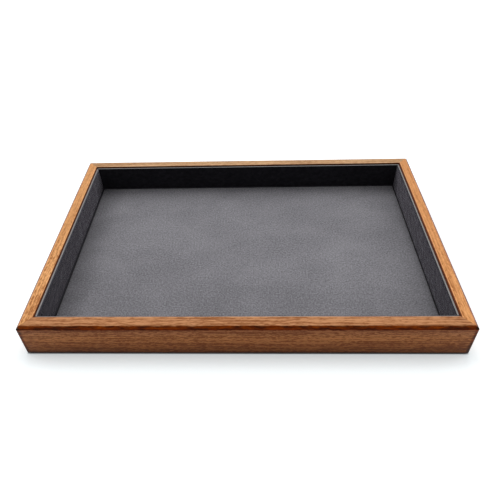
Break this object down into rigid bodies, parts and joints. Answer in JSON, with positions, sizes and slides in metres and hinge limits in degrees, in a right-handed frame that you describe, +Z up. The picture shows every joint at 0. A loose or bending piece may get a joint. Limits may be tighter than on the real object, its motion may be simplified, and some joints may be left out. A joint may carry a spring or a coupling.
{
  "type": "dice tray",
  "caption": "Shallow rectangular dice tray with a mitred, bevelled hardwood frame, a grey microsuede floor over foam and dark suede-faced card linings on its walls, open at the top.",
  "frame": {"origin": "middle of the underside, on the surface that the tray stands on", "axes": "+X along the tray's length, +Y from its front rail to its back rail, +Z up"},
  "size_m": [0.29, 0.193, 0.027],
  "materials": {
    "hardwood": "satin",
    "tongue_wood": "matte",
    "hardboard": "matte",
    "pin_steel": "satin",
    "underside_felt": "matte",
    "foam": "matte",
    "floor_suede": "matte",
    "wall_suede": "matte",
    "lining_card": "matte"
  },
  "bodies": {
    "root": {"front_rail": "hardwood", "back_rail": "hardwood", "left_rail": "hardwood", "right_rail": "hardwood", "mitre_tongue_front_left": "tongue_wood", "mitre_tongue_front_right": "tongue_wood", "mitre_tongue_back_left": "tongue_wood", "mitre_tongue_back_right": "tongue_wood", "base_panel": "hardboard", "panel_pins": "pin_steel", "underside_felt": "underside_felt", "floor_foam": "foam", "floor_suede": "floor_suede", "front_wall_suede": "wall_suede", "back_wall_suede": "wall_suede", "left_wall_suede": "wall_suede", "right_wall_suede": "wall_suede", "front_wall_card": "lining_card", "back_wall_card": "lining_card", "left_wall_card": "lining_card", "right_wall_card": "lining_card"}
  },
  "joints": []
}
